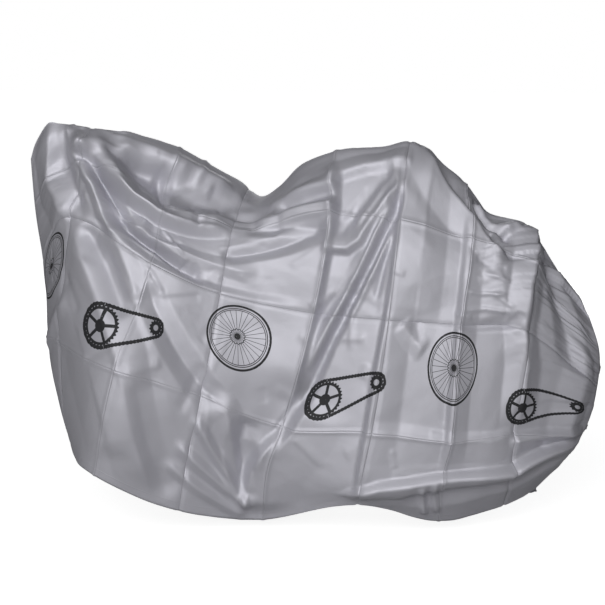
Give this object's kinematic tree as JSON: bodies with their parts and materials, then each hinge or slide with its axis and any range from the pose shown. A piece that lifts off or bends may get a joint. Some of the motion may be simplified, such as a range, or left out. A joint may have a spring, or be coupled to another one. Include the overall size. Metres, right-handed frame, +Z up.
{
  "type": "bicycle cover",
  "caption": "One-piece bag of thin silver film, open below, draped with folds as it hangs over handlebar, saddle and rear rack.",
  "frame": {"origin": "underside of the film where it rests on the saddle", "axes": "+X from the front of the cover to its rear, -Y towards its near side, +Z up"},
  "size_m": [1.525, 0.6533, 1.058],
  "materials": {
    "film": "satin silver-grey coated film with packing creases"
  },
  "bodies": {
    "root": {"cover": "film"}
  },
  "joints": []
}
